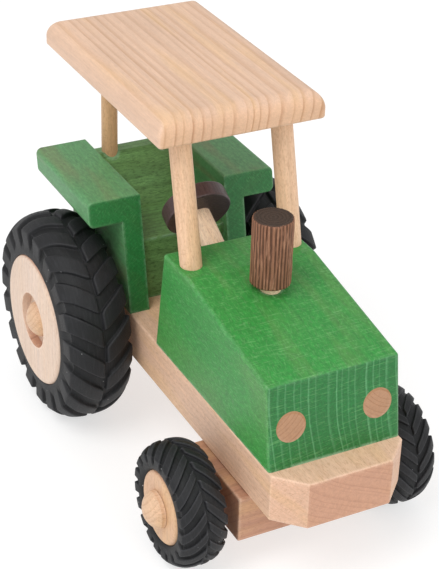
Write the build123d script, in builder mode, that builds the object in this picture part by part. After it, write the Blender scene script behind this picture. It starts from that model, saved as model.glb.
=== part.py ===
from build123d import *
import math
import os

# Wooden toy farm tractor with a roof, built as separate pieces, one STEP file per piece.
# Millimetres. The ground is Z = 0 and +Z is up. The front of the tractor faces -Y and the
# driver's left is +X. The origin is on the ground under the middle of the bounding box.

# Chassis board
CHASSIS_HALF_WIDTH = 32
CHASSIS_FRONT_Y = -118.5
CHASSIS_REAR_Y = 116
CHASSIS_BOTTOM_Z = 41.5
CHASSIS_TOP_Z = 64.5
NOSE_CHAMFER = 12
TOW_HOLE_Y = 107
TOW_HOLE_RADIUS = 4
SANDED_EDGE = 1

# Hood block: side outline and headlight plugs
HOOD_HALF_WIDTH = 31.8
HOOD_FRONT_BOTTOM_Y = -104.5
HOOD_FRONT_TOP_Y = -98.5
HOOD_FRONT_TOP_Z = 103
HOOD_CREASE_Y = -26
HOOD_TOP_Z = 115.5
HOOD_REAR_TOP_Y = -1.5
HOOD_REAR_BOTTOM_Y = 6
HOOD_EDGE = 1.5
HEADLIGHT_X = 20.8
HEADLIGHT_Z = 83
HEADLIGHT_RADIUS = 7
HEADLIGHT_DEPTH = 10

# Fenders: an upside-down L seen from the front, with leaning front and rear faces
FENDER_INNER_X = 22
FENDER_LEG_X = 32
FENDER_OUTER_X = 48.6
FENDER_TOP_Z = 121.5
FENDER_PLATE = 12.5
FENDER_FRONT_BOTTOM_Y = 33.5
FENDER_FRONT_TOP_Y = 45
FENDER_REAR_BOTTOM_Y = 98.5
FENDER_REAR_TOP_Y = 110
FENDER_CORNER = 3

# Seat block between the fenders
SEAT_FRONT_Y = 43.5
SEAT_CREASE_Y = 76
SEAT_Z = 97
BACKREST_TOP_FRONT_Y = 97
BACKREST_REAR_Y = 103.5
BACKREST_TOP_Z = 118.3

# Roof board and its four posts
ROOF_HALF_WIDTH = 40.5
ROOF_FRONT_Y = -14.3
ROOF_REAR_Y = 113.2
ROOF_BOTTOM_Z = 173.4
ROOF_THICKNESS = 13
ROOF_PLAN_CORNER = 2
ROOF_TOP_EDGE = 8
ROOF_BOTTOM_EDGE = 1.5
FRONT_POST_RADIUS = 5
FRONT_POST_X = 25
FRONT_POST_Y = -15.5
FRONT_POST_LEAN = 14
REAR_POST_RADIUS = 4
REAR_POST_X = 13.7
REAR_POST_Y = 99
POST_SOCKET = 15
ROOF_SOCKET = 8

# Exhaust stack on its dowel
EXHAUST_Y = -42.5
EXHAUST_RADIUS = 9.2
EXHAUST_BOTTOM_Z = 115.5
EXHAUST_TOP_Z = 147.5
EXHAUST_DOWEL_RADIUS = 5
EXHAUST_DOWEL_BOTTOM_Z = 97
EXHAUST_DOWEL_TOP_Z = 130

# Steering wheel and column; the column leans back from the upright
WHEEL_FACE_Y = 26.6
WHEEL_FACE_Z = 114.4
COLUMN_LEAN = 61
COLUMN_RADIUS = 5.3
COLUMN_LENGTH = 50
COLUMN_SOCKET = 5
STEERING_WHEEL_RADIUS = 16
STEERING_WHEEL_THICKNESS = 8

# Front axle block, which steers about an upright screw
FRONT_AXLE_Y = -65
BLOCK_HALF_WIDTH = 36
BLOCK_HALF_LENGTH = 23
BLOCK_BOTTOM_Z = 17.5
PIVOT_WASHER = 1
PIVOT_GAP = 0.05
SCREW_RADIUS = 3
SCREW_TOP_Z = 59.5
SCREW_HEAD_RADIUS = 6
SCREW_HEAD_HEIGHT = 4
SCREW_SOCKET_WIDTH = 4
LOWER_WASHER = 1.2
COUNTERBORE_RADIUS = 9
COUNTERBORE_DEPTH = 7

# Axle pegs, the same for all four wheels
PEG_RADIUS = 4
PEG_LENGTH = 51
PEG_HEAD_RADIUS = 8.6
PEG_HEAD_RIM = 2
PEG_HEAD_HEIGHT = 6.9
RUNNING_CLEARANCE = 0.07
END_CLEARANCE = 0.2
REAR_SPACER_RADIUS = 9
FRONT_SPACER_RADIUS = 6.5

# Wheels: x values are distances out from the middle of the tractor
REAR_AXLE_Y = 67
REAR_TYRE_RADIUS = 51.5
REAR_HUB_RADIUS = 32.4
REAR_HUB_INNER_X = 40
REAR_HUB_OUTER_X = 69
REAR_TYRE_INNER_X = 36
REAR_TYRE_OUTER_X = 68
REAR_FLANGE = 3
REAR_RECESS_RADIUS = 13.8
REAR_RECESS_DEPTH = 4.4
REAR_SHOULDER_DROP = 7.7
FRONT_TYRE_RADIUS = 28.5
FRONT_HUB_RADIUS = 17
FRONT_HUB_INNER_X = 44.5
FRONT_HUB_OUTER_X = 63.2
FRONT_TYRE_INNER_X = 41.6
FRONT_TYRE_OUTER_X = 63.6
FRONT_FLANGE = 2.5
FRONT_SHOULDER_DROP = 4
GROOVE_DEPTH = 3
TYRE_LIP = 1.2
HUB_EDGE = 2.2

# Hidden glue dowels: centre points on the chassis top, depth below and height above it
HOOD_DOWEL_POINTS = [(0, -88), (0, -18)]
SEAT_DOWEL_POINTS = [(0, 56), (0, 86)]
FENDER_DOWEL_POINTS = [(27, 48), (27, 90), (-27, 48), (-27, 90)]
LARGE_DOWEL_RADIUS = 4
SMALL_DOWEL_RADIUS = 3
DOWEL_DEPTH = 12
DOWEL_HEIGHT = 16

block_top_z = CHASSIS_BOTTOM_Z - PIVOT_WASHER - PIVOT_GAP
front_axle_z = FRONT_TYRE_RADIUS
rear_axle_z = REAR_TYRE_RADIUS
SIDES = (1, -1)

os.makedirs("parts", exist_ok=True)


def save(piece, label):
    piece.part.label = label
    export_step(piece.part, "parts/" + label + ".step")


def save_pair(left_piece, name):
    """Saves a piece built on the +X side as the left one, and its mirror image as the right."""
    with BuildPart() as right_piece:
        mirror(left_piece.part, about=Plane.YZ)
    save(left_piece, name + "_left")
    save(right_piece, name + "_right")


def leaning_plane(y, z, lean, x=0):
    """A plane whose normal leans back from the upright by lean degrees."""
    angle = math.radians(lean)
    return Plane(origin=(x, y, z), x_dir=(1, 0, 0), z_dir=(0, math.sin(angle), math.cos(angle)))


def leaning_face(bottom_y, top_y, inwards):
    """The plane through a fender's end face; inwards is 1 at the front and -1 at the rear."""
    lean = math.atan2(top_y - bottom_y, FENDER_TOP_Z - CHASSIS_TOP_Z)
    return Plane(
        origin=(0, bottom_y, CHASSIS_TOP_Z),
        z_dir=(0, inwards * math.cos(lean), -inwards * math.sin(lean)),
    )


def on_chassis(points):
    return [(x, y, CHASSIS_TOP_Z) for x, y in points]


# Planes the sloping features are cut from
front_face_lean = math.degrees(
    math.atan2(HOOD_FRONT_TOP_Y - HOOD_FRONT_BOTTOM_Y, HOOD_FRONT_TOP_Z - CHASSIS_TOP_Z)
)
headlight_y = HOOD_FRONT_BOTTOM_Y + (HEADLIGHT_Z - CHASSIS_TOP_Z) * math.tan(
    math.radians(front_face_lean)
)


def headlight_plane(side):
    """Lies on the hood's leaning front face, facing forwards."""
    angle = math.radians(front_face_lean)
    return Plane(
        origin=(side * HEADLIGHT_X, headlight_y, HEADLIGHT_Z),
        x_dir=(1, 0, 0),
        z_dir=(0, -math.cos(angle), math.sin(angle)),
    )


column_plane = leaning_plane(WHEEL_FACE_Y, WHEEL_FACE_Z, COLUMN_LEAN)


def front_post_plane(side):
    return leaning_plane(FRONT_POST_Y, HOOD_TOP_Z, FRONT_POST_LEAN, side * FRONT_POST_X)


def rear_post_plane(side):
    slope = (BACKREST_TOP_Z - SEAT_Z) / (BACKREST_TOP_FRONT_Y - SEAT_CREASE_Y)
    base_z = min(SEAT_Z + (REAR_POST_Y - SEAT_CREASE_Y) * slope, BACKREST_TOP_Z)
    return leaning_plane(REAR_POST_Y, base_z, 0, side * REAR_POST_X)


# Length of a front post between the hood top and the roof's underside
front_post_free = (ROOF_BOTTOM_Z - HOOD_TOP_Z) / math.cos(math.radians(FRONT_POST_LEAN))
rear_post_base_z = rear_post_plane(1).origin.Z

# Chassis board: chamfered nose, bores for the pegs, the dowels, the screw and the tow peg
with BuildPart() as chassis_board:
    with BuildSketch(Plane.XY.offset(CHASSIS_BOTTOM_Z)):
        with BuildLine():
            Polyline(
                (-CHASSIS_HALF_WIDTH, CHASSIS_REAR_Y),
                (-CHASSIS_HALF_WIDTH, CHASSIS_FRONT_Y + NOSE_CHAMFER),
                (-CHASSIS_HALF_WIDTH + NOSE_CHAMFER, CHASSIS_FRONT_Y),
                (CHASSIS_HALF_WIDTH - NOSE_CHAMFER, CHASSIS_FRONT_Y),
                (CHASSIS_HALF_WIDTH, CHASSIS_FRONT_Y + NOSE_CHAMFER),
                (CHASSIS_HALF_WIDTH, CHASSIS_REAR_Y),
                close=True,
            )
        make_face()
    extrude(amount=CHASSIS_TOP_Z - CHASSIS_BOTTOM_Z)
    fillet(chassis_board.edges(), radius=SANDED_EDGE)
    with Locations((0, TOW_HOLE_Y, CHASSIS_TOP_Z)):
        Hole(radius=TOW_HOLE_RADIUS)
    with Locations((0, FRONT_AXLE_Y, SCREW_TOP_Z)):
        Hole(radius=SCREW_RADIUS, depth=SCREW_TOP_Z - CHASSIS_BOTTOM_Z)
    for side in SIDES:
        with Locations(
            Plane(origin=(side * CHASSIS_HALF_WIDTH, REAR_AXLE_Y, rear_axle_z), z_dir=(side, 0, 0))
        ):
            peg_end_x = REAR_HUB_OUTER_X - REAR_RECESS_DEPTH + END_CLEARANCE - PEG_LENGTH
            Hole(radius=PEG_RADIUS, depth=CHASSIS_HALF_WIDTH - peg_end_x)
    with Locations(*on_chassis(HOOD_DOWEL_POINTS + SEAT_DOWEL_POINTS)):
        Hole(radius=LARGE_DOWEL_RADIUS, depth=DOWEL_DEPTH)
    with Locations(*on_chassis(FENDER_DOWEL_POINTS)):
        Hole(radius=SMALL_DOWEL_RADIUS, depth=DOWEL_DEPTH)
save(chassis_board, "chassis_board")

# Hood block: sloping top, sockets for plugs, posts, exhaust dowel, column and glue dowels
with BuildPart() as hood_block:
    with BuildSketch(Plane.YZ):
        with BuildLine():
            Polyline(
                (HOOD_FRONT_BOTTOM_Y, CHASSIS_TOP_Z),
                (HOOD_FRONT_TOP_Y, HOOD_FRONT_TOP_Z),
                (HOOD_CREASE_Y, HOOD_TOP_Z),
                (HOOD_REAR_TOP_Y, HOOD_TOP_Z),
                (HOOD_REAR_BOTTOM_Y, CHASSIS_TOP_Z),
                close=True,
            )
        make_face()
    extrude(amount=HOOD_HALF_WIDTH, both=True)
    bottom_edges = hood_block.faces().sort_by(Axis.Z)[0].edges()
    crease = hood_block.edges().filter_by(Axis.X).sort_by_distance((0, HOOD_CREASE_Y, HOOD_TOP_Z))[0]
    rounded = [e for e in hood_block.edges() if e not in bottom_edges and e != crease]
    fillet(rounded, radius=HOOD_EDGE)
    for side in SIDES:
        with Locations(headlight_plane(side)):
            Hole(radius=HEADLIGHT_RADIUS, depth=HEADLIGHT_DEPTH)
        with Locations(front_post_plane(side).offset(POST_SOCKET)):
            Hole(radius=FRONT_POST_RADIUS, depth=2 * POST_SOCKET)
    with Locations((0, EXHAUST_Y, EXHAUST_BOTTOM_Z)):
        Hole(radius=EXHAUST_DOWEL_RADIUS, depth=EXHAUST_BOTTOM_Z - EXHAUST_DOWEL_BOTTOM_Z)
    with Locations(column_plane):
        Hole(radius=COLUMN_RADIUS + RUNNING_CLEARANCE, depth=COLUMN_LENGTH + END_CLEARANCE)
    with BuildSketch(Plane.XY.offset(CHASSIS_TOP_Z)):
        with Locations(*HOOD_DOWEL_POINTS):
            Circle(LARGE_DOWEL_RADIUS)
    extrude(amount=DOWEL_HEIGHT, mode=Mode.SUBTRACT)
save(hood_block, "hood_block")

# Headlight plug: a flush wooden disc let into the hood's front face
with BuildPart() as headlight:
    with BuildSketch(headlight_plane(1)):
        Circle(HEADLIGHT_RADIUS)
    extrude(amount=-HEADLIGHT_DEPTH)
save_pair(headlight, "headlight_plug")

# Fender: L section along the tractor, both its end faces cut to lean back
with BuildPart() as fender:
    with BuildSketch(Plane.XZ.offset(-FENDER_FRONT_BOTTOM_Y)):
        with BuildLine():
            Polyline(
                (FENDER_INNER_X, CHASSIS_TOP_Z),
                (FENDER_LEG_X, CHASSIS_TOP_Z),
                (FENDER_LEG_X, FENDER_TOP_Z - FENDER_PLATE),
                (FENDER_OUTER_X, FENDER_TOP_Z - FENDER_PLATE),
                (FENDER_OUTER_X, FENDER_TOP_Z),
                (FENDER_INNER_X, FENDER_TOP_Z),
                close=True,
            )
        make_face()
    extrude(amount=-(FENDER_REAR_TOP_Y - FENDER_FRONT_BOTTOM_Y))
    split(bisect_by=leaning_face(FENDER_FRONT_BOTTOM_Y, FENDER_FRONT_TOP_Y, 1))
    split(bisect_by=leaning_face(FENDER_REAR_BOTTOM_Y, FENDER_REAR_TOP_Y, -1))
    outer_edges = fender.edges().filter_by(Axis.Y).sort_by(Axis.X)[-2:]
    fillet(outer_edges, radius=FENDER_CORNER)
    plate_faces = fender.faces().filter_by(Axis.Z).sort_by(Axis.Z)[-1:]
    fillet(plate_faces.edges(), radius=SANDED_EDGE)
    with BuildSketch(Plane.XY.offset(CHASSIS_TOP_Z)):
        with Locations(*[point for point in FENDER_DOWEL_POINTS if point[0] > 0]):
            Circle(SMALL_DOWEL_RADIUS)
    extrude(amount=DOWEL_HEIGHT, mode=Mode.SUBTRACT)
save_pair(fender, "fender")

# Seat block: flat seat, sloping backrest, sockets for the rear posts and glue dowels
with BuildPart() as seat_block:
    with BuildSketch(Plane.YZ):
        with BuildLine():
            Polyline(
                (SEAT_FRONT_Y, CHASSIS_TOP_Z),
                (SEAT_FRONT_Y, SEAT_Z),
                (SEAT_CREASE_Y, SEAT_Z),
                (BACKREST_TOP_FRONT_Y, BACKREST_TOP_Z),
                (BACKREST_REAR_Y, BACKREST_TOP_Z),
                (BACKREST_REAR_Y, CHASSIS_TOP_Z),
                close=True,
            )
        make_face()
    extrude(amount=FENDER_INNER_X, both=True)
    for side in SIDES:
        with Locations(rear_post_plane(side).offset(POST_SOCKET)):
            Hole(radius=REAR_POST_RADIUS, depth=2 * POST_SOCKET)
    with BuildSketch(Plane.XY.offset(CHASSIS_TOP_Z)):
        with Locations(*SEAT_DOWEL_POINTS):
            Circle(LARGE_DOWEL_RADIUS)
    extrude(amount=DOWEL_HEIGHT, mode=Mode.SUBTRACT)
save(seat_block, "seat_block")

# Roof board: rounded corners, heavily rounded top edges, blind sockets below
with BuildPart() as roof_board:
    with BuildSketch(Plane.XY.offset(ROOF_BOTTOM_Z)):
        with Locations((0, (ROOF_FRONT_Y + ROOF_REAR_Y) / 2)):
            RectangleRounded(2 * ROOF_HALF_WIDTH, ROOF_REAR_Y - ROOF_FRONT_Y, ROOF_PLAN_CORNER)
    extrude(amount=ROOF_THICKNESS)
    fillet(roof_board.faces().sort_by(Axis.Z)[-1].edges(), radius=ROOF_TOP_EDGE)
    fillet(roof_board.faces().sort_by(Axis.Z)[0].edges(), radius=ROOF_BOTTOM_EDGE)
    for side in SIDES:
        with BuildSketch(front_post_plane(side).offset(-POST_SOCKET)):
            Circle(FRONT_POST_RADIUS)
        extrude(amount=POST_SOCKET + front_post_free + ROOF_SOCKET, mode=Mode.SUBTRACT)
        with BuildSketch(rear_post_plane(side)):
            Circle(REAR_POST_RADIUS)
        extrude(amount=ROOF_BOTTOM_Z + ROOF_SOCKET - rear_post_base_z, mode=Mode.SUBTRACT)
save(roof_board, "roof_board")

# Roof posts: plain dowels glued into the sockets at both ends
with BuildPart() as front_post:
    with BuildSketch(front_post_plane(1).offset(-POST_SOCKET)):
        Circle(FRONT_POST_RADIUS)
    extrude(amount=POST_SOCKET + front_post_free + ROOF_SOCKET)
save_pair(front_post, "front_post")

with BuildPart() as rear_post:
    with BuildSketch(rear_post_plane(1).offset(-POST_SOCKET)):
        Circle(REAR_POST_RADIUS)
    extrude(amount=POST_SOCKET + ROOF_BOTTOM_Z + ROOF_SOCKET - rear_post_base_z)
save_pair(rear_post, "rear_post")

# Exhaust: a bored round stack standing on a dowel that shows below it
with BuildPart() as exhaust_stack:
    with BuildSketch(Plane.XY.offset(EXHAUST_BOTTOM_Z)):
        with Locations((0, EXHAUST_Y)):
            Circle(EXHAUST_RADIUS)
            Circle(EXHAUST_DOWEL_RADIUS, mode=Mode.SUBTRACT)
    extrude(amount=EXHAUST_DOWEL_TOP_Z - EXHAUST_BOTTOM_Z)
    with BuildSketch(Plane.XY.offset(EXHAUST_DOWEL_TOP_Z)):
        with Locations((0, EXHAUST_Y)):
            Circle(EXHAUST_RADIUS)
    extrude(amount=EXHAUST_TOP_Z - EXHAUST_DOWEL_TOP_Z)
    outer_rims = exhaust_stack.edges().filter_by(GeomType.CIRCLE).sort_by(SortBy.RADIUS)[-2:]
    chamfer(outer_rims, length=SANDED_EDGE / 2)
save(exhaust_stack, "exhaust_stack")

with BuildPart() as exhaust_dowel:
    with BuildSketch(Plane.XY.offset(EXHAUST_DOWEL_BOTTOM_Z)):
        with Locations((0, EXHAUST_Y)):
            Circle(EXHAUST_DOWEL_RADIUS)
    extrude(amount=EXHAUST_DOWEL_TOP_Z - EXHAUST_DOWEL_BOTTOM_Z)
save(exhaust_dowel, "exhaust_dowel")

# Steering column and the thick disc on its upper end
with BuildPart() as steering_column:
    with BuildSketch(column_plane.offset(-COLUMN_LENGTH)):
        Circle(COLUMN_RADIUS)
    extrude(amount=COLUMN_LENGTH + COLUMN_SOCKET)
save(steering_column, "steering_column")

with BuildPart() as steering_wheel:
    with BuildSketch(column_plane):
        Circle(STEERING_WHEEL_RADIUS)
    extrude(amount=STEERING_WHEEL_THICKNESS)
    fillet(steering_wheel.edges(), radius=SANDED_EDGE)
    with BuildSketch(column_plane):
        Circle(COLUMN_RADIUS)
    extrude(amount=COLUMN_SOCKET, mode=Mode.SUBTRACT)
save(steering_wheel, "steering_wheel")

# Front axle block: turns about the screw, carries the two front pegs
with BuildPart() as front_axle_block:
    with BuildSketch(Plane.XY.offset(BLOCK_BOTTOM_Z)):
        with Locations((0, FRONT_AXLE_Y)):
            Rectangle(2 * BLOCK_HALF_WIDTH, 2 * BLOCK_HALF_LENGTH)
    extrude(amount=block_top_z - BLOCK_BOTTOM_Z)
    fillet(front_axle_block.edges(), radius=SANDED_EDGE)
    with Locations(Plane(origin=(0, FRONT_AXLE_Y, BLOCK_BOTTOM_Z), z_dir=(0, 0, -1))):
        CounterBoreHole(
            radius=SCREW_RADIUS + RUNNING_CLEARANCE,
            counter_bore_radius=COUNTERBORE_RADIUS,
            counter_bore_depth=COUNTERBORE_DEPTH,
        )
    for side in SIDES:
        with Locations(
            Plane(origin=(side * BLOCK_HALF_WIDTH, FRONT_AXLE_Y, front_axle_z), z_dir=(side, 0, 0))
        ):
            peg_end_x = FRONT_HUB_OUTER_X + END_CLEARANCE - PEG_LENGTH
            Hole(radius=PEG_RADIUS, depth=BLOCK_HALF_WIDTH - peg_end_x)
save(front_axle_block, "front_axle_block")

# Steering screw from below, with a washer under its head and one above the block
lower_washer_top_z = BLOCK_BOTTOM_Z + COUNTERBORE_DEPTH - PIVOT_GAP
screw_head_top_z = lower_washer_top_z - LOWER_WASHER
with BuildPart() as steering_screw:
    with BuildSketch(Plane.XY.offset(screw_head_top_z - SCREW_HEAD_HEIGHT)):
        with Locations((0, FRONT_AXLE_Y)):
            Circle(SCREW_HEAD_RADIUS)
    extrude(amount=SCREW_HEAD_HEIGHT)
    with BuildSketch(Plane.XY.offset(screw_head_top_z)):
        with Locations((0, FRONT_AXLE_Y)):
            Circle(SCREW_RADIUS)
    extrude(amount=SCREW_TOP_Z - screw_head_top_z)
    chamfer(steering_screw.faces().sort_by(Axis.Z)[0].edges(), length=SANDED_EDGE)
    with BuildSketch(Plane.XY.offset(screw_head_top_z - SCREW_HEAD_HEIGHT)):
        with Locations((0, FRONT_AXLE_Y)):
            RegularPolygon(radius=SCREW_SOCKET_WIDTH / 2, side_count=6, major_radius=False)
    extrude(amount=SCREW_HEAD_HEIGHT / 2, mode=Mode.SUBTRACT)
save(steering_screw, "steering_screw")


def washer(bottom_z, thickness, outer_radius):
    with BuildPart() as ring:
        with BuildSketch(Plane.XY.offset(bottom_z)):
            with Locations((0, FRONT_AXLE_Y)):
                Circle(outer_radius)
                Circle(SCREW_RADIUS, mode=Mode.SUBTRACT)
        extrude(amount=thickness)
    return ring


lower_washer = washer(screw_head_top_z, LOWER_WASHER, COUNTERBORE_RADIUS - 1)
save(lower_washer, "steering_washer_lower")
upper_washer = washer(CHASSIS_BOTTOM_Z - PIVOT_WASHER, PIVOT_WASHER, 2 * SCREW_HEAD_RADIUS)
save(upper_washer, "steering_washer_upper")


def axle_plane(axle_y):
    """The upright plane through an axle: sketch x is the tractor's X, sketch y is Z."""
    return Plane.XZ.offset(-axle_y)


def axle_line(axle_y, axle_z):
    return Axis((0, axle_y, axle_z), (1, 0, 0))


def turned(points, axle_y, axle_z):
    """A solid of revolution about an axle from (x, radius) points."""
    with BuildPart() as piece:
        with BuildSketch(axle_plane(axle_y)):
            with BuildLine():
                Polyline(*[(x, axle_z + r) for x, r in points], close=True)
            make_face()
        revolve(axis=axle_line(axle_y, axle_z))
    return piece


def axle_peg(seat_x, axle_y, axle_z):
    """A turned peg whose domed head starts at seat_x and whose shaft runs inwards."""
    dome_height = PEG_HEAD_HEIGHT - PEG_HEAD_RIM
    dome_radius = (PEG_HEAD_RADIUS**2 + dome_height**2) / (2 * dome_height)
    dome_centre_x = seat_x + PEG_HEAD_HEIGHT - dome_radius
    half_angle = math.asin(PEG_HEAD_RADIUS / dome_radius) / 2
    with BuildPart() as piece:
        with BuildSketch(axle_plane(axle_y)):
            with BuildLine():
                Polyline(
                    (seat_x + PEG_HEAD_HEIGHT, axle_z),
                    (seat_x - PEG_LENGTH, axle_z),
                    (seat_x - PEG_LENGTH, axle_z + PEG_RADIUS),
                    (seat_x, axle_z + PEG_RADIUS),
                    (seat_x, axle_z + PEG_HEAD_RADIUS),
                    (seat_x + PEG_HEAD_RIM, axle_z + PEG_HEAD_RADIUS),
                )
                ThreePointArc(
                    (seat_x + PEG_HEAD_RIM, axle_z + PEG_HEAD_RADIUS),
                    (
                        dome_centre_x + dome_radius * math.cos(half_angle),
                        axle_z + dome_radius * math.sin(half_angle),
                    ),
                    (seat_x + PEG_HEAD_HEIGHT, axle_z),
                )
            make_face()
        revolve(axis=axle_line(axle_y, axle_z))
    return piece


def hub(inner_x, outer_x, radius, flange, recess_radius, recess_depth, axle_y, axle_z):
    """A turned hub with a groove for the tyre and, if deep enough, a round recess outside."""
    bore = PEG_RADIUS + RUNNING_CLEARANCE
    groove = radius - GROOVE_DEPTH
    outline = [
        (inner_x, bore),
        (inner_x, radius),
        (inner_x + flange, radius),
        (inner_x + flange, groove),
        (outer_x - flange, groove),
        (outer_x - flange, radius),
        (outer_x, radius),
    ]
    if recess_depth:
        outline += [
            (outer_x, recess_radius),
            (outer_x - recess_depth, recess_radius),
            (outer_x - recess_depth, bore),
        ]
    else:
        outline += [(outer_x, bore)]
    piece = turned(outline, axle_y, axle_z)
    with piece:
        outer_face = piece.faces().filter_by(GeomType.PLANE).sort_by(Axis.X)[-1]
        rim = outer_face.edges().sort_by(SortBy.RADIUS)[-1]
        fillet(rim, radius=HUB_EDGE)
    return piece


def tyre(inner_x, outer_x, radius, drop, hub_inner_x, hub_outer_x, hub_radius, flange, axle_y):
    """A solid rubber tyre: bead in the hub's groove, rounded crown and shoulders."""
    middle_x = (inner_x + outer_x) / 2
    half = (outer_x - inner_x) / 2
    crown = [
        (middle_x + s * half, 2 * radius - drop * abs(s) ** 3)
        for s in (-1, -0.75, -0.4, 0, 0.4, 0.75, 1)
    ]
    bead_in_x = hub_inner_x + flange
    bead_out_x = hub_outer_x - flange
    groove = radius + hub_radius - GROOVE_DEPTH
    lip = radius + hub_radius
    with BuildPart() as piece:
        with BuildSketch(axle_plane(axle_y)):
            with BuildLine():
                Spline(*crown)
                Polyline(
                    crown[-1],
                    (outer_x, lip + GROOVE_DEPTH),
                    (hub_outer_x - TYRE_LIP, lip),
                    (bead_out_x, lip),
                    (bead_out_x, groove),
                    (bead_in_x, groove),
                    (bead_in_x, lip),
                    (hub_inner_x + TYRE_LIP, lip),
                    (inner_x, lip + GROOVE_DEPTH),
                    crown[0],
                )
            make_face()
        revolve(axis=axle_line(axle_y, radius))
    return piece


# Rear wheels: pegs glued into the chassis sides, spacers, recessed hubs and tyres
rear_seat_x = REAR_HUB_OUTER_X - REAR_RECESS_DEPTH + END_CLEARANCE
rear_peg = axle_peg(rear_seat_x, REAR_AXLE_Y, rear_axle_z)
save_pair(rear_peg, "rear_axle_peg")
rear_spacer_points = [
    (CHASSIS_HALF_WIDTH, PEG_RADIUS),
    (CHASSIS_HALF_WIDTH, REAR_SPACER_RADIUS),
    (REAR_HUB_INNER_X - END_CLEARANCE, REAR_SPACER_RADIUS),
    (REAR_HUB_INNER_X - END_CLEARANCE, PEG_RADIUS),
]
rear_spacer = turned(rear_spacer_points, REAR_AXLE_Y, rear_axle_z)
save_pair(rear_spacer, "rear_spacer")
rear_hub = hub(
    REAR_HUB_INNER_X,
    REAR_HUB_OUTER_X,
    REAR_HUB_RADIUS,
    REAR_FLANGE,
    REAR_RECESS_RADIUS,
    REAR_RECESS_DEPTH,
    REAR_AXLE_Y,
    rear_axle_z,
)
save_pair(rear_hub, "rear_hub")
rear_tyre = tyre(
    REAR_TYRE_INNER_X,
    REAR_TYRE_OUTER_X,
    REAR_TYRE_RADIUS,
    REAR_SHOULDER_DROP,
    REAR_HUB_INNER_X,
    REAR_HUB_OUTER_X,
    REAR_HUB_RADIUS,
    REAR_FLANGE,
    REAR_AXLE_Y,
)
save_pair(rear_tyre, "rear_tyre")

# Front wheels: pegs glued into the axle block, spacers, flat hubs and tyres
front_peg = axle_peg(FRONT_HUB_OUTER_X + END_CLEARANCE, FRONT_AXLE_Y, front_axle_z)
save_pair(front_peg, "front_axle_peg")
front_spacer_points = [
    (BLOCK_HALF_WIDTH, PEG_RADIUS),
    (BLOCK_HALF_WIDTH, FRONT_SPACER_RADIUS),
    (FRONT_HUB_INNER_X - END_CLEARANCE, FRONT_SPACER_RADIUS),
    (FRONT_HUB_INNER_X - END_CLEARANCE, PEG_RADIUS),
]
front_spacer = turned(front_spacer_points, FRONT_AXLE_Y, front_axle_z)
save_pair(front_spacer, "front_spacer")
front_hub = hub(
    FRONT_HUB_INNER_X,
    FRONT_HUB_OUTER_X,
    FRONT_HUB_RADIUS,
    FRONT_FLANGE,
    0,
    0,
    FRONT_AXLE_Y,
    front_axle_z,
)
save_pair(front_hub, "front_hub")
front_tyre = tyre(
    FRONT_TYRE_INNER_X,
    FRONT_TYRE_OUTER_X,
    FRONT_TYRE_RADIUS,
    FRONT_SHOULDER_DROP,
    FRONT_HUB_INNER_X,
    FRONT_HUB_OUTER_X,
    FRONT_HUB_RADIUS,
    FRONT_FLANGE,
    FRONT_AXLE_Y,
)
save_pair(front_tyre, "front_tyre")


def glue_dowels(points, radius):
    """Upright dowels, each half in the chassis and half in the piece above it."""
    with BuildPart() as dowels:
        with BuildSketch(Plane.XY.offset(CHASSIS_TOP_Z - DOWEL_DEPTH)):
            with Locations(*points):
                Circle(radius)
        extrude(amount=DOWEL_DEPTH + DOWEL_HEIGHT)
    return dowels


save(glue_dowels(HOOD_DOWEL_POINTS, LARGE_DOWEL_RADIUS), "hood_dowels")
save(glue_dowels(SEAT_DOWEL_POINTS, LARGE_DOWEL_RADIUS), "seat_dowels")
save(glue_dowels(FENDER_DOWEL_POINTS, SMALL_DOWEL_RADIUS), "fender_dowels")
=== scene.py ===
import math

import bpy
from mathutils import Matrix, Vector, noise


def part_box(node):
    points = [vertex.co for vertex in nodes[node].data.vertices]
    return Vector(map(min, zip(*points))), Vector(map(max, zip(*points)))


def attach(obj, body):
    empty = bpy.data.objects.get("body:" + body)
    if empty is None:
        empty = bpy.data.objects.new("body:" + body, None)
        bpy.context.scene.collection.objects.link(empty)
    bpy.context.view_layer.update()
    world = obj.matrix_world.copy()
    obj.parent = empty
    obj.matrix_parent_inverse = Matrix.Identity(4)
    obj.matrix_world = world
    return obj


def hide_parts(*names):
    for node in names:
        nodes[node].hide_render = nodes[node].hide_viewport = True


# Wooden toy farm tractor with a roof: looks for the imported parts. Metres, ground at Z = 0,
# front at -Y, driver's left at +X. Wood and rubber sizes below are in millimetres.

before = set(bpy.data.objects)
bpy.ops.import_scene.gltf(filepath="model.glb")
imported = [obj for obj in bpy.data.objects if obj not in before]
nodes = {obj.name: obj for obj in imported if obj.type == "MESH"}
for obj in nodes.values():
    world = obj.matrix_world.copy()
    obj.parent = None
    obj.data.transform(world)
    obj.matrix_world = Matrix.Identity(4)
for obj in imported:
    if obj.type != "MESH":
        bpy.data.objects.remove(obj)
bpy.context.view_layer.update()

MM = 0.001
ACROSS = Vector((1, 0, 0))
LENGTHWAYS = Vector((0, 1, 0))
UPRIGHT = Vector((0, 0, 1))

# Tread: lugs on each half of a tyre. A lug's width, flanks and edges are shares of the pitch
# from one lug to the next; LUG_WIDTH gives the width near the middle and at the shoulder.
# LUG_LEAN is how many degrees round the tyre a lug runs from the shoulder to the middle.
LUGS = 19
LUG_HEIGHT = {"rear": 1.9, "front": 1.4}
LUG_LEAN = {"rear": 13.0, "front": -24.0}
LUG_WIDTH = {"rear": (0.54, 0.60), "front": (0.46, 0.60)}
LUG_FLANK = 0.025
LUG_EDGE = 0.035
LUG_TIP = 0.045
LUG_TIP_WIDTH = 0.8

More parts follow.
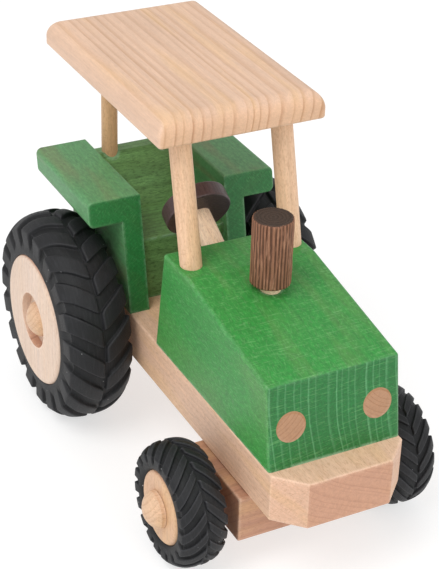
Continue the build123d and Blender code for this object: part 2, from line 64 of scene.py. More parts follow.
# Tyre section: fall of the tread at the shoulder, how far the side wall stops above the hub,
# and the bead in the hub's groove. CROWN_SHARES are the places of the rows across the tread.
# A row down the side wall has its share out from the middle, its reach as a share of the
# tyre's, its way down the wall, and the height of the lugs there.
CROWN_SHARES = (0.0, 0.015, LUG_TIP, 0.10, 0.25, 0.42, 0.56, 0.70, 0.83, 0.94)
SIDE_ROWS = (
    (0.99, 0.99, -0.02, 1.0),
    (1.0, 1.0, 0.04, 1.0),
    (1.0, 1.0, 0.22, 1.0),
    (1.0, 0.995, 0.50, 0.85),
    (1.0, 0.99, 0.72, 0.45),
    (1.0, 0.975, 0.90, 0.0),
)
SHOULDER_DROP = {"rear": 6.4, "front": 4.2}
HUB_FLANGE = {"rear": 3.0, "front": 2.5}
SIDE_FOOT = 3.0
BEAD_DEPTH = 3.0
TYRE_LIP = 1.2
LIP_GAP = 0.08

# How far each wheel stands turned at rest, in degrees
WHEEL_TURN = {"rear_right": 3.6, "rear_left": 0.0, "front_right": -4.5, "front_left": 5.4}

# Exhaust stack: a short length of branch with its bark ribs
RIB_COUNT = 33
RIB_DEPTH = 0.6
SAWN_EDGE = 0.9
STACK_COLUMNS = 270
STACK_ROWS = 40

# Headlight plugs, where the left front post enters the hood top, and leans from the upright
PLUG_RADIUS = 7.0
POST_FOOT = Vector((25, -15.5, 115.5))
MIRROR = Vector((-1, 1, 1))
FRONT_POST_LEAN = 14
COLUMN_LEAN = 61

# How far in from a piece's edges the wear reaches, in millimetres; on rubber it is how far the
# painted highlight on the edges reaches
WOOD_WEAR = 1.6
RUBBER_EDGE_HIGHLIGHT = 0.8
STEEL_WEAR = 0.4

# Camera
CAMERA_PLACE = Vector((-0.3067, -0.5739, 0.4756))
CAMERA_AZIMUTH = -27.94
CAMERA_ELEVATION = 30.54
CAMERA_ROLL = -1.85
CAMERA_LENS = 103.86
CAMERA_SHIFT_Y = -0.0023


def srgb(red, green, blue):
    """A linear colour from the 0 to 255 values it has on a screen."""
    return tuple((c / 255 / 12.92) if c <= 10 else ((c / 255 + 0.055) / 1.055) ** 2.4
                 for c in (red, green, blue)) + (1.0,)


# ---------------------------------------------------------------- material building

class Shader:
    """A material being wired up. Most methods add a node and return its output."""

    def __init__(self, name):
        self.material = bpy.data.materials.new(name)
        self.material.use_nodes = True
        self.tree = self.material.node_tree
        self.tree.nodes.clear()

    def node(self, kind, settings=None, inputs=None):
        made = self.tree.nodes.new("ShaderNode" + kind)
        for key, value in (settings or {}).items():
            setattr(made, key, value)
        for key, value in (inputs or {}).items():
            if isinstance(value, bpy.types.NodeSocket):
                self.tree.links.new(value, made.inputs[key])
            else:
                made.inputs[key].default_value = value
        return made

    def math(self, operation, a, b=0.0, c=0.0):
        return self.node("Math", {"operation": operation}, {0: a, 1: b, 2: c}).outputs[0]

    def vector(self, operation, a, b):
        return self.node("VectorMath", {"operation": operation}, {0: a, 1: b})

    def length(self, vector):
        return self.node("VectorMath", {"operation": "LENGTH"}, {0: vector}).outputs["Value"]

    def step(self, value, low, high, out_low=0.0, out_high=1.0):
        """Smooth change from out_low at low to out_high at high."""
        inputs = {"Value": value, "From Min": low, "From Max": high,
                  "To Min": out_low, "To Max": out_high}
        return self.node("MapRange", {"interpolation_type": "SMOOTHSTEP"}, inputs).outputs[0]

    def mix(self, factor, a, b, blend="MIX"):
        settings = {"data_type": "RGBA", "blend_type": blend, "clamp_factor": True}
        return self.node("Mix", settings, {0: factor, 6: a, 7: b}).outputs[2]

    def noise(self, place, scale=1.0, detail=2.0, roughness=0.5):
        inputs = {"Vector": place, "Scale": scale, "Detail": detail, "Roughness": roughness}
        return self.node("TexNoise", None, inputs).outputs["Fac"]

    def stretched(self, x, y, z, sizes):
        """A point whose three parts are divided by the sizes given, in millimetres."""
        parts = {i: self.math("DIVIDE", part, size)
                 for i, (part, size) in enumerate(zip((x, y, z), sizes))}
        return self.node("CombineXYZ", None, parts).outputs[0]

    def place(self):
        """The point on the object at rest, in millimetres."""
        spot = self.node("TexCoord").outputs["Object"]
        scaled = self.node("VectorMath", {"operation": "SCALE"}, {0: spot, "Scale": 1 / MM})
        return scaled.outputs[0]

    def edge(self, reach):
        """1 on sharp outer edges and 0 on flat faces: how much of the piece's own surface
        can be met looking inwards from a point within this many millimetres."""
        settings = {"inside": True, "only_local": True, "samples": 6}
        inside = self.node("AmbientOcclusion", settings, {"Distance": reach * MM})
        return self.step(inside.outputs["AO"], 0.95, 0.62)

    def finish(self, colour, roughness, height, bump, specular=0.4, coat=0.0, coat_roughness=0.3):
        bumped = self.node("Bump", None, {"Height": height, "Distance": bump * MM, "Strength": 1.0})
        inputs = {"Base Color": colour, "Roughness": roughness, "Specular IOR Level": specular,
                  "Coat Weight": coat, "Coat Roughness": coat_roughness,
                  "Normal": bumped.outputs[0]}
        surface = self.node("BsdfPrincipled", None, inputs)
        output = self.node("OutputMaterial")
        self.tree.links.new(surface.outputs[0], output.inputs["Surface"])
        return self.material


# ---------------------------------------------------------------- wood

# A look holds colours and, as shares from 0 to 1, how strongly each kind of mark shows.
# ray_size is out from the pith, round it and along the grain, in millimetres.
BEECH = {
    "light": srgb(224, 186, 158),
    "dark": srgb(190, 146, 112),
    "ray": srgb(180, 132, 96),
    "end": srgb(188, 136, 108),
    "end_line": srgb(160, 108, 84),
    "worn": srgb(240, 214, 190),
    "ring": 0.45, "rays": 0.30, "ends": 0.8, "wear": 0.45,
    "ray_size": (6.0, 0.35, 1.4),
    "pore": srgb(176, 126, 94), "pores": 0.30,
    "tint": srgb(226, 184, 126), "tints": 0.30, "mottle": 0.25, "fibre": 0.34,
    "rough": 0.48, "coat": 0.06,
}
ROOF_BEECH = dict(BEECH, light=srgb(219, 184, 158), dark=srgb(182, 134, 94), ring=0.5,
                  rays=0.06, mottle=0.12, pores=0.08,
                  end=srgb(214, 172, 138), end_line=srgb(176, 124, 86))
CHASSIS_BEECH = dict(BEECH, ring=0.22, end_line=srgb(172, 120, 94))
PEG_BEECH = dict(BEECH, light=srgb(224, 186, 152), ring=0.3,
                 end=srgb(218, 182, 150), end_line=srgb(200, 158, 124))
HUB_BEECH = dict(BEECH, light=srgb(222, 198, 180), dark=srgb(206, 174, 148), ring=0.3,
                 rays=0.15, pores=0.15, tints=0.1)
SMALL_HUB_BEECH = dict(BEECH, light=srgb(216, 176, 143), ring=0.3)
# Beech lighter than the pegs' own colour, for the steering column and the exhaust dowel: painted
# light that lifts the shade these parts stand in
PAINTED_LIGHT_BEECH = dict(PEG_BEECH, light=srgb(252, 222, 190), dark=srgb(222, 180, 146),
                    fibre=0.24, end=srgb(250, 222, 190))
REAR_POST_BEECH = dict(PEG_BEECH, light=srgb(218, 174, 134))
PLUG_BEECH = dict(PEG_BEECH, end=srgb(173, 130, 98), end_line=srgb(152, 106, 72), ends=0.95,
                  wear=0.1)
DARK_BEECH = dict(BEECH, light=srgb(184, 138, 112), dark=srgb(150, 104, 80),
                  ray=srgb(130, 84, 62), end=srgb(120, 78, 56), end_line=srgb(92, 56, 42))
GREEN_BEECH = {
    "light": srgb(46, 138, 56),
    "dark": srgb(36, 112, 46),
    "ray": srgb(118, 176, 110),
    "end": srgb(18, 104, 44),
    "end_line": srgb(84, 148, 98),
    "worn": srgb(140, 178, 142),
    "ring": 0.25, "rays": 0.42, "ends": 0.88, "wear": 0.75,
    "ray_size": (8.0, 0.34, 0.5),
    "pore": srgb(120, 172, 112), "pores": 0.26,
    "tint": srgb(96, 136, 72), "tints": 0.35, "mottle": 0.9, "fibre": 0.56,
    "rough": 0.46, "coat": 0.10,
}
FENDER_GREEN = dict(GREEN_BEECH, light=srgb(84, 142, 90), dark=srgb(78, 122, 74), rays=0.2,
                    wear=0.35, end=srgb(12, 104, 40), end_line=srgb(26, 114, 52),
                    tint=srgb(118, 124, 86), tints=0.55)
SEAT_GREEN = dict(GREEN_BEECH, light=srgb(104, 152, 88), dark=srgb(52, 88, 42), ring=0.6,
                  ray=srgb(50, 84, 38), rays=0.35, wear=0.6, tints=0.5,
                  pore=srgb(44, 76, 34), pores=0.5)
# Dark wood for the steering wheel. Its nearly black end colour falls on the wheel's near face:
# darker end grain together with painted shade for a face that sits in shadow
DARK_WOOD = {
    "light": srgb(82, 62, 62),
    "dark": srgb(54, 36, 38),
    "ray": srgb(98, 74, 70),
    "end": srgb(30, 20, 20),
    "end_line": srgb(46, 32, 30),
    "worn": srgb(104, 82, 76),
    "ring": 0.6, "rays": 0.4, "ends": 0.9, "wear": 0.4,
    "ray_size": (3.0, 0.30, 0.8),
    "pore": srgb(40, 28, 28), "pores": 0.3,
    "tint": srgb(90, 60, 62), "tints": 0.3, "mottle": 0.4, "fibre": 0.5,
    "rough": 0.36, "coat": 0.15,
}


def grain_place(sh, along, centre, pith, seed):
    """The point as seen from the pith line: x out towards the middle of the piece, y sideways,
    z along the grain. Also how far out from the pith line the middle of the piece is."""
    out = centre - pith
    out -= along * out.dot(along)
    reach = max(out.length, 12.0)
    out.normalize()
    side = along.cross(out)
    spot = sh.vector("SUBTRACT", sh.place(), tuple(pith)).outputs[0]
    x, y, z = (sh.vector("DOT_PRODUCT", spot, tuple(way)).outputs["Value"]
               for way in (out, side, along))
    return x, y, sh.math("ADD", z, seed * 137), reach


def growth_rings(sh, x, y, z, ring_width, wave):
    """Wavy distance from the pith, the place within a ring from 0 to 1, and how strong the
    ring's dark line is, which is 0 again at the very end of the ring."""
    slow = sh.noise(sh.stretched(x, y, z, (42, 42, 130)), 1.0, 1.0)
    quick = sh.noise(sh.stretched(x, y, z, (9, 9, 70)), 1.0, 2.0)
    wobble = sh.math("MULTIPLY_ADD", slow, wave * 4, sh.math("MULTIPLY", quick, wave * 0.5))
    square = sh.math("ADD", sh.math("MULTIPLY", x, x), sh.math("MULTIPLY", y, y))
    radius = sh.math("ADD", sh.math("SQRT", square), wobble)
    uneven = sh.noise(sh.stretched(radius, 0.0, 0.0, (ring_width * 3.3, 1, 1)), 1.0, 1.0)
    phase = sh.math("DIVIDE", sh.math("MULTIPLY_ADD", uneven, ring_width * 3, radius), ring_width)
    turn = sh.math("FRACT", phase)
    each = sh.node("TexWhiteNoise", {"noise_dimensions": "1D"}, {"W": sh.math("FLOOR", phase)})
    strength = sh.math("MULTIPLY_ADD", each.outputs["Value"], 0.6, 0.4)
    return radius, turn, sh.math("MULTIPLY", sh.step(turn, 0.93, 1.0, 1.0, 0.0), strength)


def oiled_rim(sh, colour, centre, along, radius):
    """A plug has a darker line of glue and oil round its rim."""
    off = sh.vector("SUBTRACT", sh.place(), tuple(centre)).outputs[0]
    away = sh.length(sh.vector("CROSS_PRODUCT", off, tuple(along)).outputs[0])
    line = sh.math("MULTIPLY", sh.step(away, radius - 1.0, radius), 0.6)
    return sh.mix(line, colour, srgb(150, 100, 46))


def worn_edges(sh, colour, look, joints):
    """Handling wears the edges lighter, except close to joints, a list of (point, reach)."""
    scuff = sh.step(sh.noise(sh.place(), 0.35, 3.0, 0.6), 0.30, 0.60)
    wear = sh.math("MULTIPLY", sh.math("MULTIPLY", sh.edge(WOOD_WEAR), scuff), look["wear"])
    for point, near in joints:
        away = sh.length(sh.vector("SUBTRACT", sh.place(), tuple(point)).outputs[0])
        wear = sh.math("MULTIPLY", wear, sh.step(away, near, near + 1.5))
    return sh.mix(wear, colour, look["worn"])


def wood(name, look, grain, centre, pith, ring_width=3.6, wave=3.0, seed=0, rim=0.0, joints=()):
    """Solid wood. The grain runs along the vector grain; the growth rings circle a line that
    runs along the grain through the point pith; centre is the middle of the piece."""
    sh = Shader(name)
    along = grain.normalized()
    x, y, z, reach = grain_place(sh, along, centre, pith, seed)
    radius, turn, line = growth_rings(sh, x, y, z, ring_width, wave)
    angle = sh.math("MULTIPLY", sh.math("ARCTAN2", y, x), reach)

    def pattern(sizes, detail, roughness=0.5):
        """Noise with these sizes out from the pith, round it and along the grain."""
        return sh.noise(sh.stretched(radius, angle, z, sizes), 1.0, detail, roughness)

    # Fibres and streaks along the grain, rays that run out from the pith, pores, tinted bands
    fibre = pattern((0.6, 0.6, 9), 3.0, 0.65)
    streak = pattern((1.6, 1.6, 60), 2.0)
    rays = sh.step(pattern(look["ray_size"], 1.5, 0.6), 0.56, 0.70)
    pores = sh.step(pattern((0.55, 0.55, 2.4), 1.0), 0.54, 0.68)
    band = sh.step(pattern((9, 30, 90), 2.0), 0.48, 0.66)
    mottle = pattern((1.3, 1.3, 2.6), 2.0, 0.7)
    patch = sh.noise(sh.stretched(x, y, z, (30, 30, 60)), 1.0, 2.0)

    # Lighter and darker spots that side grain and end grain share
    shade = 1.0
    spreads = ((fibre, look["fibre"]), (streak, 0.22), (patch, 0.20), (mottle, look["mottle"]))
    for spots, spread in spreads:
        shade = sh.math("MULTIPLY", sh.math("MULTIPLY_ADD", spots, spread, 1 - spread / 2), shade)
    grey = sh.node("CombineXYZ", None, {0: shade, 1: shade, 2: shade}).outputs[0]

    # Side grain
    ring = sh.math("MULTIPLY", sh.step(turn, 0.35, 0.93), line)
    marks = ((band, "tints", "tint"), (rays, "rays", "ray"), (pores, "pores", "pore"))
    colour = sh.mix(sh.math("MULTIPLY", ring, look["ring"]), look["light"], look["dark"])
    for mark, amount, tone in marks:
        colour = sh.mix(sh.math("MULTIPLY", mark, look[amount]), colour, look[tone])
    colour = sh.mix(1.0, colour, grey, "MULTIPLY")

    # End grain drinks more stain and oil, so it is darker
    facing = sh.vector("DOT_PRODUCT", sh.node("TexCoord").outputs["Normal"], tuple(along))
    end = sh.step(sh.math("ABSOLUTE", facing.outputs["Value"]), 0.55, 0.98)
    end_ring = sh.math("MULTIPLY", sh.step(turn, 0.66, 0.93), line)
    end_colour = sh.mix(end_ring, look["end"], look["end_line"])
    end_colour = sh.mix(sh.math("MULTIPLY", rays, look["rays"] * 0.8), end_colour, look["ray"])
    end_colour = sh.mix(1.0, end_colour, grey, "MULTIPLY")
    colour = sh.mix(sh.math("MULTIPLY", end, look["ends"]), colour, end_colour)

    if rim:
        colour = oiled_rim(sh, colour, centre, along, rim)
    colour = worn_edges(sh, colour, look, joints)
    rough = sh.math("MULTIPLY_ADD", fibre, 0.22, look["rough"] - 0.09)
    height = sh.math("SUBTRACT", sh.math("ADD", fibre, sh.math("MULTIPLY", streak, 0.4)),
                     sh.math("MULTIPLY", rays, 0.35))
    return sh.finish(colour, rough, height, 0.07, 0.42, look["coat"], 0.38)


def middle(name):
    """The middle of a part's box, in millimetres."""
    low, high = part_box(name)
    return (low + high) / 2 / MM


def dress(name, look, grain, pith_offset, **details):
    """Gives a carried-over part its own piece of wood. The pith line is offset from its middle."""
    centre = middle(name)
    pith = centre + Vector(pith_offset)
    seed = sum(ord(letter) for letter in name) % 17
    made = wood("wood_" + name, look, grain, centre, pith, seed=seed, **details)
    paint(nodes[name], made)


def paint(piece, material):
    piece.data.materials.clear()
    piece.data.materials.append(material)


# ---------------------------------------------------------------- other materials

def rubber():
    """Near-black, with moulding lines, dust, a painted highlight that greys the edges, and a few
    pale specks.
    """
    sh = Shader("tyre_rubber")
    spot = sh.place()
    cloud = sh.noise(spot, 0.08, 3.0, 0.6)
    grit = sh.noise(spot, 2.4, 4.0, 0.65)
    parts = sh.node("SeparateXYZ", None, {0: spot})
    x, y, z = parts.outputs[0], parts.outputs[1], parts.outputs[2]
    mould = sh.noise(sh.stretched(x, y, z, (0.5, 7, 7)), 1.0, 2.0, 0.6)
    lug = sh.node("Attribute", {"attribute_name": "lug"}).outputs["Fac"]
    colour = sh.mix(sh.step(cloud, 0.3, 0.7), srgb(13, 14, 15), srgb(24, 25, 27))
    dust = sh.math("MULTIPLY", sh.step(grit, 0.45, 0.75), 0.16)
    colour = sh.mix(dust, colour, srgb(62, 62, 65))
    colour = sh.mix(sh.math("MULTIPLY", lug, 0.15), colour, srgb(48, 48, 52))
    colour = sh.mix(sh.math("MULTIPLY", sh.step(mould, 0.5, 0.7), 0.2), colour, srgb(62, 62, 66))
    # Painted highlight: the edges of the lugs and side walls are mixed towards grey
    colour = sh.mix(sh.math("MULTIPLY", sh.edge(RUBBER_EDGE_HIGHLIGHT), 0.5), colour, srgb(88, 88, 92))
    cells = sh.node("TexVoronoi", None, {"Vector": spot, "Scale": 0.16}).outputs["Distance"]
    specks = sh.step(cells, 0.05, 0.035)
    colour = sh.mix(sh.math("MULTIPLY", specks, 0.7), colour, srgb(190, 190, 190))
    rough = sh.math("MULTIPLY_ADD", cloud, 0.2, 0.48)
    return sh.finish(colour, rough, sh.math("MULTIPLY_ADD", mould, 0.8, grit), 0.12, 0.34)


def bark():
    """Ribs red-brown with paler crests and dark valleys, sawn end grey-brown with rings."""
    sh = Shader("bark_wood")
    spot = sh.place()
    rib = sh.node("Attribute", {"attribute_name": "rib"}).outputs["Fac"]
    low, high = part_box("exhaust_stack")
    axis = (low + high) / 2 / MM
    parts = sh.node("SeparateXYZ", None, {0: sh.vector("SUBTRACT", spot, tuple(axis)).outputs[0]})
    x, y, z = parts.outputs[0], parts.outputs[1], parts.outputs[2]
    fibre = sh.noise(sh.stretched(x, y, z, (0.6, 0.6, 9)), 1.0, 4.0, 0.65)
    blotch = sh.noise(sh.stretched(x, y, z, (3, 3, 8)), 1.0, 3.0)
    side = sh.mix(sh.step(rib, 0.1, 0.8), srgb(92, 60, 44), srgb(144, 100, 76))
    side = sh.mix(sh.math("MULTIPLY", sh.step(fibre, 0.50, 0.68), 0.7), side, srgb(186, 138, 110))
    side = sh.mix(sh.math("MULTIPLY", sh.step(blotch, 0.5, 0.3), 0.35), side, srgb(78, 52, 40))
    radius = sh.math("SQRT", sh.math("ADD", sh.math("MULTIPLY", x, x), sh.math("MULTIPLY", y, y)))
    turn = sh.math("FRACT", sh.math("MULTIPLY_ADD", blotch, 1.2, sh.math("DIVIDE", radius, 1.7)))
    sawn = sh.mix(sh.step(turn, 0.3, 0.95), srgb(74, 59, 49), srgb(50, 39, 33))
    sawn = sh.mix(sh.math("MULTIPLY", sh.noise(spot, 1.6, 3.0), 0.5), sawn, srgb(52, 40, 34))
    normal = sh.node("SeparateXYZ", None, {0: sh.node("TexCoord").outputs["Normal"]})
    top = sh.step(sh.math("ABSOLUTE", normal.outputs[2]), 0.55, 0.9)
    colour = sh.mix(top, side, sawn)
    return sh.finish(colour, sh.math("MULTIPLY_ADD", fibre, 0.25, 0.5), fibre, 0.25, 0.3)


def steel():
    """Lightly brushed metal with brighter edges."""
    sh = Shader("screw_steel")
    spot = sh.place()
    brushed = sh.noise(spot, 1.8, 3.0)
    colour = sh.mix(brushed, srgb(150, 150, 148), srgb(190, 190, 186))
    colour = sh.mix(sh.math("MULTIPLY", sh.edge(STEEL_WEAR), 0.5), colour, srgb(214, 214, 210))
    made = sh.finish(colour, sh.math("MULTIPLY_ADD", brushed, 0.3, 0.25), brushed, 0.03)
    sh.tree.nodes["Principled BSDF"].inputs["Metallic"].default_value = 1.0
    return made


# ---------------------------------------------------------------- meshes

def mesh_piece(name, points, faces, body, stands_for, attribute, values):
    """Makes a smooth closed mesh from points in millimetres and rides it on its body. The
    attribute gives every point a value for the material."""
    mesh = bpy.data.meshes.new(name)
    mesh.from_pydata([tuple(c * MM for c in p) for p in points], [], faces)
    mesh.update()
    mesh.polygons.foreach_set("use_smooth", [True] * len(mesh.polygons))
    mesh.attributes.new(attribute, "FLOAT", "POINT").data.foreach_set("value", values)
    piece = bpy.data.objects.new(name, mesh)
    bpy.context.scene.collection.objects.link(piece)
    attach(piece, body)
    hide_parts(stands_for)
    return piece


def half_section(end, reach, top, hub_radius, hub_face):
    """Rows from the crown out to the bead on one half of a tyre. reach and hub_face are how far
    out the tyre and the hub go from the tyre's middle. Each row is (share out from the middle,
    distance out, radius, depth of the floor, depth of a lug's top, lug width)."""
    height = LUG_HEIGHT[end]
    narrow, wide = LUG_WIDTH[end]
    rows = []
    for share in CROWN_SHARES:
        width = narrow + (wide - narrow) * share
        if share == 0:
            width = 0.5 - LUG_FLANK
        elif share <= LUG_TIP:
            width *= LUG_TIP_WIDTH
        lug_depth = height if share < LUG_TIP else 0.0
        radius = top - SHOULDER_DROP[end] * share ** 3
        rows.append((share, share * reach, radius, height, lug_depth, width))
    shoulder = top - SHOULDER_DROP[end]
    fall = shoulder - hub_radius - SIDE_FOOT
    for share, out, down, lug in SIDE_ROWS:
        rows.append((share, out * reach, shoulder - down * fall, lug * height, 0.0, wide))
    lip_place = hub_face - TYRE_LIP
    bead_place = hub_face - HUB_FLANGE[end]
    lip = [(lip_place + 0.6 * (reach - lip_place), hub_radius + 1.4),
           (lip_place + 0.1, hub_radius + 0.35),
           (lip_place, hub_radius + LIP_GAP),
           (bead_place, hub_radius + LIP_GAP),
           (bead_place, hub_radius - BEAD_DEPTH)]
    rows += [(1.0, distance, radius, 0.0, 0.0, wide) for distance, radius in lip]
    return rows


def lug_columns(width, own):
    """Places of one pitch's columns round the tyre as shares of the pitch, and 1 where the lug
    is raised. The two halves of the tyre use the same columns, half a pitch apart."""
    half = width / 2
    raised = [(-half - LUG_FLANK, 0), (-half, 1), (-half + LUG_EDGE, 1), (0, 1),
              (half - LUG_EDGE, 1), (half, 1), (half + LUG_FLANK, 0)]
    room = (1 - width) / 2 - LUG_FLANK
    flat = [(share * room, 0) for share in (-0.86, -0.66, -0.4, 0, 0.4, 0.66, 0.86)]
    first, second = (raised, flat) if own else (flat, raised)
    return ([(0.25 + place, up) for place, up in first]
            + [(0.75 + place, up) for place, up in second])


def outward(rows, index):
    """Outward direction of a tyre's section at a row, from the rows beside it."""
    before = rows[max(index - 1, 0)]
    after = rows[min(index + 1, len(rows) - 1)]
    across = after[0] * after[1][1] - before[0] * before[1][1]
    up = after[1][2] - before[1][2]
    length = math.hypot(across, up) or 1.0
    return -up / length, across / length


def tread_points(rows, centre, out, lean, wheel_turn):
    """Points of a whole tyre, row by row, and 1 for each point on the top of a lug."""
    points, raised = [], []
    for index, (half, (share, distance, radius, floor, lug_depth, width)) in enumerate(rows):
        across, up = outward(rows, index)
        for lug in range(LUGS):
            for place, is_raised in lug_columns(width, half > 0):
                sink = lug_depth if is_raised else floor
                slant = out * lean * (1 - share)
                turn = math.radians((lug + place) * 360 / LUGS + slant + wheel_turn)
                r = radius - sink * up
                x = centre.x + out * (half * distance - sink * across)
                points.append((x, centre.y - r * math.cos(turn), centre.z + r * math.sin(turn)))
                raised.append(float(is_raised and floor > lug_depth))
    return points, raised


def tyre(end, side, material):
    """A chunky farm tyre: one closed mesh with slanting lugs on both halves of the tread."""
    name = f"{end}_tyre_{side}"
    out = 1 if side == "left" else -1
    low, high = (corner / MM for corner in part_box(name))
    hub_low, hub_high = (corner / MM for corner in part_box(f"{end}_hub_{side}"))
    centre = (low + high) / 2
    top = (high.z - low.z) / 2
    reach = (high.x - low.x) / 2
    hub_radius = (hub_high.z - hub_low.z) / 2
    hub_faces = sorted(out * (x - centre.x) for x in (hub_low.x, hub_high.x))
    inner = half_section(end, reach, top, hub_radius, -hub_faces[0])
    outer = half_section(end, reach, top, hub_radius, hub_faces[1])
    rows = [(-1, row) for row in reversed(inner[1:])] + [(1, row) for row in outer]
    points, raised = tread_points(rows, centre, out, LUG_LEAN[end], WHEEL_TURN[f"{end}_{side}"])
    around = len(points) // len(rows)
    faces = []
    for i in range(len(rows)):
        for j in range(around):
            k, m = (i + 1) % len(rows), (j + 1) % around
            quad = (i * around + j, i * around + m, k * around + m, k * around + j)
            faces.append(quad if out > 0 else quad[::-1])
    piece = mesh_piece(f"{name}_tread", points, faces, f"{end}_wheel_{side}", name,
                       "lug", raised)
    smooth = piece.modifiers.new("round_edges", "SUBSURF")
    smooth.levels = 1
    smooth.render_levels = 1
    paint(piece, material)


def exhaust(material):
    """A short length of branch standing on its dowel: ribbed bark, sawn ends, blind hole."""
    low, high = (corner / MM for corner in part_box("exhaust_stack"))
    dowel_low, dowel_high = (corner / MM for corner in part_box("exhaust_dowel"))
    centre = (low + high) / 2
    radius = (high.x - low.x) / 2
    bore = (dowel_high.x - dowel_low.x) / 2
    bore_top = dowel_high.z

    # Rows are (radius, height, share of the rib depth), from inside the hole round to the top
    rows = [(0.0, bore_top, 0), (bore * 0.5, bore_top, 0), (bore, bore_top, 0), (bore, low.z, 0),
            (radius * 0.8, low.z, 0), (radius - SAWN_EDGE, low.z, 0.3)]
    for i in range(STACK_ROWS + 1):
        share = i / STACK_ROWS
        rows.append((radius, low.z + 0.5 + share * (high.z - low.z - 1.1), 1))
    rows += [(radius - SAWN_EDGE, high.z, 0.4), (radius * 0.75, high.z - 0.1, 0),
             (radius * 0.4, high.z - 0.25, 0), (0.0, high.z - 0.3, 0)]
    points, ribs = [], []
    for r, z, share in rows:
        if r == 0:
            points.append((centre.x, centre.y, z))
            ribs.append(0.0)
            continue
        for j in range(STACK_COLUMNS):
            turn = 2 * math.pi * j / STACK_COLUMNS
            drift = noise.noise(Vector((math.cos(turn) * 2, math.sin(turn) * 2, z * 0.035)))
            wave = math.sin(turn * RIB_COUNT + 3.2 * drift)
            crest = 0.5 + 0.5 * math.copysign(abs(wave) ** 0.7, wave)
            knots = noise.noise(Vector((math.cos(turn) * 6, math.sin(turn) * 6, z * 0.16)))
            valley = RIB_DEPTH * ((1 - crest) * (0.65 + 0.5 * knots) + 0.25 * (knots + 0.6))
            reach = r - max(0.0, valley) * share
            points.append((centre.x + reach * math.cos(turn), centre.y + reach * math.sin(turn), z))
            ribs.append(crest * share)
    faces = ring_faces([1 if row[0] == 0 else STACK_COLUMNS for row in rows])
    piece = mesh_piece("exhaust_stack_bark", points, faces, "tractor_body",
                       "exhaust_stack", "rib", ribs)
    paint(piece, material)


def ring_faces(counts):
    """Faces between successive rings of points; a ring of one point is a pole."""
    faces, start = [], 0
    for a, b in zip(counts, counts[1:]):
        other = start + a
        most = max(a, b)
        for j in range(most):
            k = (j + 1) % most
            if a == 1:
                faces.append((start, other + k, other + j))
            elif b == 1:
                faces.append((start + j, start + k, other))
            else:
                faces.append((start + j, start + k, other + k, other + j))
        start = other
    return faces


# ---------------------------------------------------------------- the tractor

def leaning(degrees):
    """The upright, leant back by so many degrees."""
    angle = math.radians(degrees)
    return Vector((0, math.sin(angle), math.cos(angle)))


def dress_frame():
    dress("chassis_board", CHASSIS_BEECH, LENGTHWAYS, (95, 0, 178), ring_width=2.6, wave=1.2)
    hood_joints = [(middle("headlight_plug_left"), 10.0), (middle("headlight_plug_right"), 10.0),
                   (POST_FOOT, 7.0), (POST_FOOT * MIRROR, 7.0)]
    dress("hood_block", GREEN_BEECH, LENGTHWAYS, (230, 0, 12), ring_width=3.8, wave=1.2,
          joints=hood_joints)
    dress("seat_block", SEAT_GREEN, ACROSS, (0, 55, -20), ring_width=2.6, wave=3.5)
    dress("roof_board", ROOF_BEECH, LENGTHWAYS, (170, 0, -35), ring_width=4.7, wave=0.7)
    dress("front_axle_block", DARK_BEECH, ACROSS, (0, 40, 60), ring_width=3.2, wave=1.5)
    for side, sign in (("left", 1), ("right", -1)):
        dress(f"fender_{side}", FENDER_GREEN, LENGTHWAYS, (sign * 60, 0, -55), ring_width=3.8)
        dress(f"headlight_plug_{side}", PLUG_BEECH, LENGTHWAYS, (sign * 9, 0, 14),
              ring_width=2.4, rim=PLUG_RADIUS)
        dress(f"front_post_{side}", PEG_BEECH, leaning(FRONT_POST_LEAN), (sign * 12, 9, 0),
              ring_width=2.4)
        dress(f"rear_post_{side}", REAR_POST_BEECH, UPRIGHT, (sign * 10, 12, 0), ring_width=2.2)
    dress("exhaust_dowel", PAINTED_LIGHT_BEECH, UPRIGHT, (8, 6, 0), ring_width=2.0)
    for name in ("hood_dowels", "seat_dowels", "fender_dowels"):
        dress(name, PEG_BEECH, UPRIGHT, (20, 20, 0), ring_width=2.0)


def dress_steering():
    metal = steel()
    for name in ("steering_screw", "steering_washer_lower", "steering_washer_upper"):
        paint(nodes[name], metal)
    dress("steering_column", PAINTED_LIGHT_BEECH, leaning(COLUMN_LEAN), (7, 6, 6), ring_width=2.2)
    dress("steering_wheel", DARK_WOOD, leaning(COLUMN_LEAN), (30, 10, 0), ring_width=2.4)


def dress_wheels():
    tread = rubber()
    hubs = {"front": SMALL_HUB_BEECH, "rear": HUB_BEECH}
    for side, sign in (("left", 1), ("right", -1)):
        for end in ("front", "rear"):
            dress(f"{end}_axle_peg_{side}", PEG_BEECH, ACROSS, (0, 6, 9), ring_width=2.2)
            dress(f"{end}_spacer_{side}", BEECH, ACROSS, (0, 12, 14), ring_width=2.6)
            dress(f"{end}_hub_{side}", hubs[end], UPRIGHT, (sign * 26, 60, 0), ring_width=4.0)
            tyre(end, side, tread)


# ---------------------------------------------------------------- studio

def area_light(name, place, target, size, energy):
    data = bpy.data.lights.new(name, "AREA")
    data.shape = "DISK"
    data.size = size
    data.energy = energy
    lamp = bpy.data.objects.new(name, data)
    lamp.location = place
    lamp.rotation_euler = (Vector(target) - Vector(place)).to_track_quat("-Z", "Y").to_euler()
    bpy.context.scene.collection.objects.link(lamp)


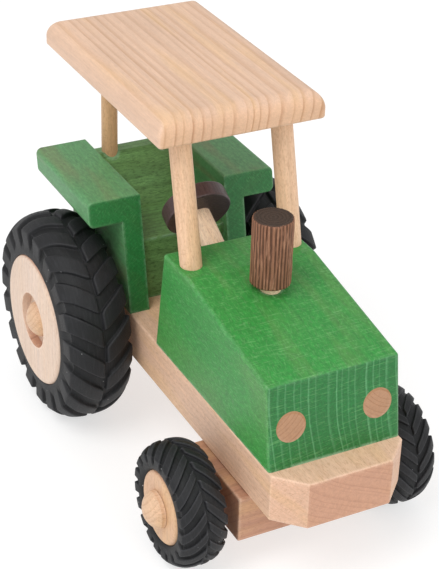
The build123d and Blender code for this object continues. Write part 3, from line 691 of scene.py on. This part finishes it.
def floor():
    """Pale paper that glows a little, so it stays nearly white round the soft shadow."""
    mesh = bpy.data.meshes.new("floor")
    reach = 6.0
    corners = [(-reach, -reach, 0), (reach, -reach, 0), (reach, reach, 0), (-reach, reach, 0)]
    mesh.from_pydata(corners, [], [(0, 1, 2, 3)])
    piece = bpy.data.objects.new("floor", mesh)
    bpy.context.scene.collection.objects.link(piece)
    sh = Shader("floor_paper")
    surface = sh.node("BsdfDiffuse", None, {"Color": (0.45, 0.45, 0.45, 1)})
    glow = sh.node("Emission", None, {"Color": (1, 1, 1, 1), "Strength": 0.62})
    both = sh.node("AddShader", None, {0: surface.outputs[0], 1: glow.outputs[0]})
    output = sh.node("OutputMaterial")
    sh.tree.links.new(both.outputs[0], output.inputs["Surface"])
    paint(piece, sh.material)


def studio():
    scene = bpy.context.scene
    world = bpy.data.worlds.new("studio")
    world.use_nodes = True
    background = world.node_tree.nodes["Background"]
    background.inputs["Color"].default_value = (1.0, 1.0, 1.0, 1.0)
    background.inputs["Strength"].default_value = 0.68
    scene.world = world
    area_light("key", (-0.9, -0.35, 1.5), (0, 0, 0.08), 1.1, 14.0)
    area_light("fill", (0.5, -1.6, 1.0), (0, 0, 0.08), 1.4, 9.0)
    floor()
    scene.view_settings.view_transform = "Standard"


def camera():
    azimuth, elevation, roll = (math.radians(a) for a in
                                (CAMERA_AZIMUTH, CAMERA_ELEVATION, CAMERA_ROLL))
    back = Vector((math.sin(azimuth) * math.cos(elevation),
                   -math.cos(azimuth) * math.cos(elevation), math.sin(elevation)))
    right = UPRIGHT.cross(back).normalized()
    up = back.cross(right)
    rolled_right = math.cos(roll) * right - math.sin(roll) * up
    rolled_up = math.cos(roll) * up + math.sin(roll) * right
    data = bpy.data.cameras.new("camera")
    data.lens = CAMERA_LENS
    data.sensor_width = 36.0
    data.shift_y = CAMERA_SHIFT_Y
    data.clip_start = 0.05
    data.clip_end = 20.0
    view = bpy.data.objects.new("camera", data)
    turn = Matrix((rolled_right, rolled_up, back)).transposed().to_4x4()
    view.matrix_world = Matrix.Translation(CAMERA_PLACE) @ turn
    bpy.context.scene.collection.objects.link(view)
    bpy.context.scene.camera = view


dress_frame()
dress_steering()
dress_wheels()
exhaust(bark())
studio()
camera()
